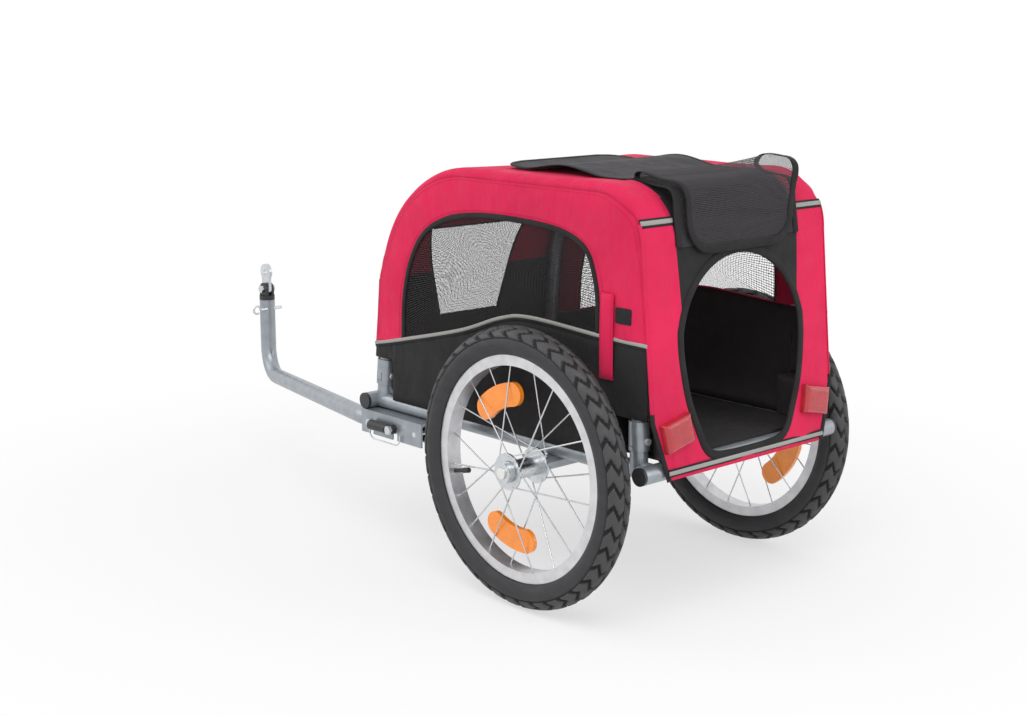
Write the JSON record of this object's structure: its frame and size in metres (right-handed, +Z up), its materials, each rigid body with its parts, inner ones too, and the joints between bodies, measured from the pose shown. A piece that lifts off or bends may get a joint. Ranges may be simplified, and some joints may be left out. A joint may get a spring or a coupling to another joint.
{
  "type": "cargo_trailer",
  "caption": "Two-wheeled cycle trailer with a red and black cloth cabin, mesh windows, a rear mesh door and a bent side drawbar",
  "frame": {"origin": "middle of the box on the ground", "axes": "+X the way of travel, +Y the left side, +Z up"},
  "size_m": [1.1416, 0.5514, 0.6091],
  "materials": {
    "steel_tube": "grey lacquer on steel tube",
    "zinc": "zinc plate",
    "rim_metal": "satin",
    "tyre_rubber": "moulded tread",
    "tube_rubber": "smooth",
    "black_plastic": "moulded",
    "red_cloth": "coated woven cloth",
    "black_cloth": "coated woven cloth",
    "mesh_cloth": "open knit mesh",
    "board": "cloth over board",
    "orange_lens": "prismatic lens",
    "red_lens": "prismatic lens"
  },
  "bodies": {
    "chassis": {"front_cross_tube": "steel_tube", "rear_cross_tube": "steel_tube", "side_rails": "steel_tube", "tube_end_caps": "black_plastic", "axle_beam": "steel_tube", "socket_front_left": "steel_tube", "socket_rear_left": "steel_tube", "socket_front_right": "steel_tube", "socket_rear_right": "steel_tube", "hoop_left": "steel_tube", "hoop_right": "steel_tube", "roof_bars": "steel_tube", "floor_board": "board", "side_frames": "red_cloth", "window_panes": "mesh_cloth", "side_skirts": "black_cloth", "roof_cover": "red_cloth", "front_wall": "black_cloth", "front_window_mesh": "mesh_cloth", "rear_wall": "red_cloth", "side_straps": "red_cloth", "rear_reflectors": "red_lens", "axle_left": "zinc", "axle_right": "zinc", "drawbar_channel": "steel_tube", "pivot_bolt": "zinc"},
    "wheel_left": {"tyre_left": "tyre_rubber", "inner_tube_left": "tube_rubber", "rim_left": "rim_metal", "spokes_left": "zinc", "hub_left": "zinc", "bearings_left": "zinc", "spoke_reflectors_left": "orange_lens"},
    "axle_button_left": {"axle_button_left": "zinc"},
    "snap_button_front_left": {"snap_button_front_left": "zinc"},
    "snap_button_rear_left": {"snap_button_rear_left": "zinc"},
    "wheel_right": {"tyre_right": "tyre_rubber", "inner_tube_right": "tube_rubber", "rim_right": "rim_metal", "spokes_right": "zinc", "hub_right": "zinc", "bearings_right": "zinc", "spoke_reflectors_right": "orange_lens"},
    "axle_button_right": {"axle_button_right": "zinc"},
    "snap_button_front_right": {"snap_button_front_right": "zinc"},
    "snap_button_rear_right": {"snap_button_rear_right": "zinc"},
    "door_hinge": {"door_leaf_hinge": "mesh_cloth"},
    "door_roof": {"door_leaf_roof": "mesh_cloth"},
    "door_return": {"door_leaf_return": "mesh_cloth"},
    "door_tip": {"door_leaf_tip": "mesh_cloth"},
    "rain_flap": {"rain_flap": "black_cloth"},
    "drawbar": {"drawbar": "steel_tube", "lock_bolt_and_wire": "zinc", "clamp_stud": "zinc"},
    "clamp_lever": {"clamp_lever": "black_plastic"},
    "hitch_swivel": {"hitch_swivel": "black_plastic", "hitch_bolt": "zinc"},
    "axle_plate": {"axle_plate": "zinc"},
    "hitch_pin": {"hitch_pin": "zinc"}
  },
  "joints": [
    {"name": "wheel_left_spin", "type": "hinge", "parent": "chassis", "child": "wheel_left", "pos_m": [-0.35221, 0.2354, 0.2], "axis": [0, 1, 0], "continuous": true},
    {"name": "axle_button_left_push", "type": "slide", "parent": "chassis", "child": "axle_button_left", "axis": [0, -1, 0], "range_m": [0, 0.0025], "stiffness_N_per_m": 2000, "springref_m": -0.001},
    {"name": "snap_button_front_left_push", "type": "slide", "parent": "chassis", "child": "snap_button_front_left", "axis": [1, 0, 0], "range_m": [0, 0.0045], "stiffness_N_per_m": 1500, "springref_m": -0.001},
    {"name": "snap_button_rear_left_push", "type": "slide", "parent": "chassis", "child": "snap_button_rear_left", "axis": [1, 0, 0], "range_m": [0, 0.0045], "stiffness_N_per_m": 1500, "springref_m": -0.001},
    {"name": "wheel_right_spin", "type": "hinge", "parent": "chassis", "child": "wheel_right", "pos_m": [-0.35221, -0.2354, 0.2], "axis": [0, 1, 0], "continuous": true},
    {"name": "axle_button_right_push", "type": "slide", "parent": "chassis", "child": "axle_button_right", "axis": [0, 1, 0], "range_m": [0, 0.0025], "stiffness_N_per_m": 2000, "springref_m": -0.001},
    {"name": "snap_button_front_right_push", "type": "slide", "parent": "chassis", "child": "snap_button_front_right", "axis": [1, 0, 0], "range_m": [0, 0.0045], "stiffness_N_per_m": 1500, "springref_m": -0.001},
    {"name": "snap_button_rear_right_push", "type": "slide", "parent": "chassis", "child": "snap_button_rear_right", "axis": [1, 0, 0], "range_m": [0, 0.0045], "stiffness_N_per_m": 1500, "springref_m": -0.001},
    {"name": "door_swing", "type": "hinge", "parent": "chassis", "child": "door_hinge", "pos_m": [-0.53411, 0, 0.5165], "axis": [0, -1, 0], "range_deg": [0, 174.16]},
    {"name": "door_roof_fold", "type": "hinge", "parent": "door_hinge", "child": "door_roof", "pos_m": [-0.52034, 0, 0.58921], "axis": [0, -1, 0], "range_deg": [0, 69.06]},
    {"name": "door_return_fold", "type": "hinge", "parent": "door_roof", "child": "door_return", "pos_m": [-0.45553, 0, 0.60171], "axis": [0, 1, 0], "range_deg": [0, 180.05]},
    {"name": "door_tip_fold", "type": "hinge", "parent": "door_return", "child": "door_tip", "pos_m": [-0.52162, 0, 0.5905], "axis": [0, 1, 0], "range_deg": [0, 69.06]},
    {"name": "rain_flap_lift", "type": "hinge", "parent": "chassis", "child": "rain_flap", "pos_m": [-0.45221, 0, 0.60055], "axis": [0, -1, 0], "range_deg": [0, 85]},
    {"name": "drawbar_fold", "type": "hinge", "parent": "chassis", "child": "drawbar", "pos_m": [-0.07721, 0.187, 0.19], "axis": [0, 1, 0], "range_deg": [0, 145]},
    {"name": "clamp_lever_turn", "type": "hinge", "parent": "drawbar", "child": "clamp_lever", "pos_m": [-0.02821, 0.187, 0.19], "axis": [0, -1, 0], "range_deg": [0, 150]},
    {"name": "hitch_yaw", "type": "hinge", "parent": "drawbar", "child": "hitch_swivel", "pos_m": [0.55579, 0.043, 0.3], "axis": [0, 0, 1], "range_deg": [-60, 60]},
    {"name": "hitch_pitch", "type": "hinge", "parent": "hitch_swivel", "child": "axle_plate", "pos_m": [0.55579, 0.043, 0.3203], "axis": [0, 1, 0], "range_deg": [-40, 40]},
    {"name": "hitch_pin_pull", "type": "slide", "parent": "drawbar", "child": "hitch_pin", "axis": [0, 1, 0], "range_m": [0, 0.045]}
  ],
  "couplings": [
    {"joint": "door_roof_fold", "follows": "door_swing", "ratio": 0.37246},
    {"joint": "door_return_fold", "follows": "door_swing", "ratio": 0.97149},
    {"joint": "door_tip_fold", "follows": "door_swing", "ratio": 0.37246}
  ]
}
